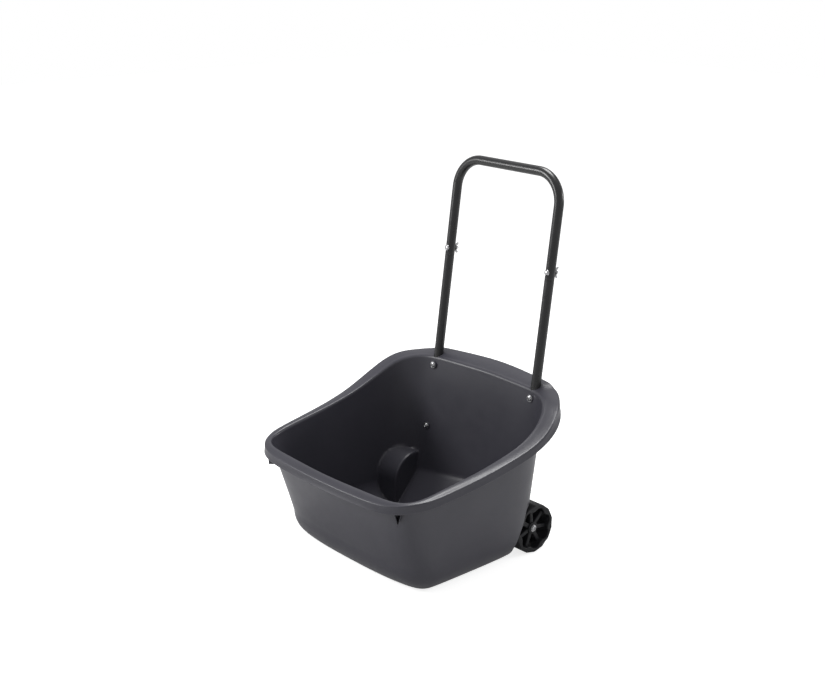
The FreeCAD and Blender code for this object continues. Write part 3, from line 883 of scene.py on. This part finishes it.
# screws, washers and nuts that hold the legs to the back wall
screwRows = {"leg_screws_upper": legFacts["screws"][0], "leg_screws_lower": legFacts["screws"][1]}
for node, s in screwRows.items():
    parts = [buttonScrew(legPoint(side, s) - backward * 16.8, backward, 36.0) for side in (-1, 1)]
    dress(makePiece("legScrews." + node[11:], parts), "zinc", "zinc_steel", "cart", node)
places = [legPoint(side, s) for side in (-1, 1) for s in legFacts["screws"]]
washers = [washerPart(a - backward * 16.8, backward, 8.0, 3.3, 1.15) for a in places]
dress(makePiece("legWashers", washers), "zinc", "zinc_steel", "cart", "leg_washers")
nuts = [nutPart(a + backward * 11.05, backward, 10.0, 5.0, 3.03) for a in places]
dress(makePiece("legNuts", nuts), "zinc", "zinc_steel", "cart", "leg_nuts")


wheelFacts = {
    "radius": 57.0, "in": 183.0, "out": 228.0, "ringHole": 42.0, "bayCentre": 33.0, "bayRadius": 15.5,
    "spokes": 7, "firstSpoke": math.radians(95), "hubIn": 179.2, "hubOut": 221.0, "hubRadius": 14.0,
    "spokeIn": 194.0, "spokeOut": 218.0, "around": 14 * 24,
}


def wheelRing():
    # tread of fourteen flats outside, seven scalloped bays inside, edges rounded:
    # each row is a share of the way from the inner to the outer outline, at a distance along the axle
    f = wheelFacts
    u = np.linspace(0, 2 * math.pi, f["around"], endpoint=False)
    facet = 2 * math.pi / (2 * f["spokes"])
    outer = f["radius"] * math.cos(facet / 2) / np.cos(np.mod(u + math.pi / 2, facet) - facet / 2)
    outer = quietMin(outer, np.full_like(outer, f["radius"]), 0.8)
    bay = 2 * math.pi / f["spokes"]
    off = np.mod(u - f["firstSpoke"], bay) - bay / 2
    room = f["bayRadius"] ** 2 - (f["bayCentre"] * np.sin(off)) ** 2
    scallop = np.where(room > 0, f["bayCentre"] * np.cos(off) + np.sqrt(np.maximum(room, 0)), 0)
    inner = quietMax(scallop, np.full_like(scallop, f["ringHole"]), 1.6)
    a, b = f["in"], f["out"]
    rows = []
    for x, grow in ((a + 2.2, 0.0), (b - 2.2, 0.0), (b - 1.4, -0.35), (b - 0.5, -1.1), (b - 0.1, -2.2)):
        rows.append((x, outer + grow))
    for share in (0.85, 0.5, 0.15):
        rows.append((b, inner + (outer - inner) * share))
    for x, grow in ((b - 0.15, 1.1), (b - 0.7, 0.35), (b - 1.5, 0.0), (a + 1.5, 0.0), (a + 0.3, 0.7)):
        rows.append((x, inner + grow))
    for share in (0.15, 0.5, 0.85):
        rows.append((a, inner + (outer - inner) * share))
    for x, grow in ((a + 0.1, -2.2), (a + 0.5, -1.1), (a + 1.4, -0.35)):
        rows.append((x, outer + grow))
    points = [axlePlace + np.column_stack([np.full_like(u, x), r * np.cos(u), r * np.sin(u)])
              for x, r in rows]
    return loopedSurface(np.array(points))


def spokePart(turn):
    # rounded bar from the hub to the ring: a squared ellipse carried along the radius
    f = wheelFacts
    v = np.linspace(0, 2 * math.pi, 40, endpoint=False)
    c, s = np.cos(v), np.sin(v)
    power = 0.28
    acrossShape = np.sign(c) * np.abs(c) ** power
    depthShape = np.sign(s) * np.abs(s) ** power
    out = np.array([0.0, math.cos(turn), math.sin(turn)])
    sideways = np.array([0.0, -math.sin(turn), math.cos(turn)])
    rows = []
    for share in np.linspace(0, 1, 9):
        r = 8.0 + (47.0 - 8.0) * share
        half = 5.4 - 0.9 * share + 1.4 * (2 * share - 1) ** 6
        middle = (f["spokeIn"] + f["spokeOut"]) / 2
        deep = (f["spokeOut"] - f["spokeIn"]) / 2
        rows.append(axlePlace + xAxis * middle + out * r + (half * acrossShape)[:, None] * sideways
                    + (deep * depthShape)[:, None] * xAxis)
    return gridSurface(np.array(rows))


def wheelParts():
    # ring, bored hub and spokes
    f = wheelFacts
    near, far, r = f["hubIn"], f["hubOut"], f["hubRadius"]
    section = [(near + 0.5, 5.05), (near, 5.6), (near, 12.6), (near + 1.4, r), (far - 2.0, r),
               (far - 0.6, 13.5), (far, 12.2), (far, 5.6), (far - 0.5, 5.05)]
    hub = turned(axlePlace, xAxis, section, 64, True)
    arms = [spokePart(f["firstSpoke"] + 2 * math.pi * k / f["spokes"]) for k in range(f["spokes"])]
    return [wheelRing(), hub] + arms


for side, word in ((-1, "left"), (1, "right")):
    parts = wheelParts()
    if side < 0:
        parts = [mirrored(part) for part in parts]
    dress(makePiece("wheel." + word, parts), "wheel", "wheel_plastic", word + "_wheel", "wheel_" + word)
    face = axlePlace + xAxis * (side * (wheelFacts["hubOut"] + 2.1))
    screw = makePiece("axleScrew." + word, [buttonScrew(face, xAxis * -side, 18.0)])
    dress(screw, "zinc", "zinc_steel", "cart", "axle_screw_" + word)
ends = [np.array([side, 0.0, 0.0]) for side in (-1, 1)]
innerRings = [washerPart(e * 177.0 + axlePlace, e, 9.0, 5.1, 1.8) for e in ends]
dress(makePiece("innerWashers", innerRings), "zinc", "zinc_steel", "cart", "axle_inner_washers")
outerRings = [washerPart(e * 221.5 + axlePlace, e, 8.0, 3.1, 1.5) for e in ends]
dress(makePiece("outerWashers", outerRings), "zinc", "zinc_steel", "cart", "axle_outer_washers")
middleOfBar = [(x, 5.0) for x in np.linspace(-200, 200, 21)]
barShape = [(-221.4, 4.2), (-220.6, 5.0)] + middleOfBar + [(220.6, 5.0), (221.4, 4.2)]
dress(makePiece("axleBar", [turned(axlePlace, xAxis, barShape)]), "axle", "axle_steel", "cart", "axle")
print("stage 5: wheels and axle made")
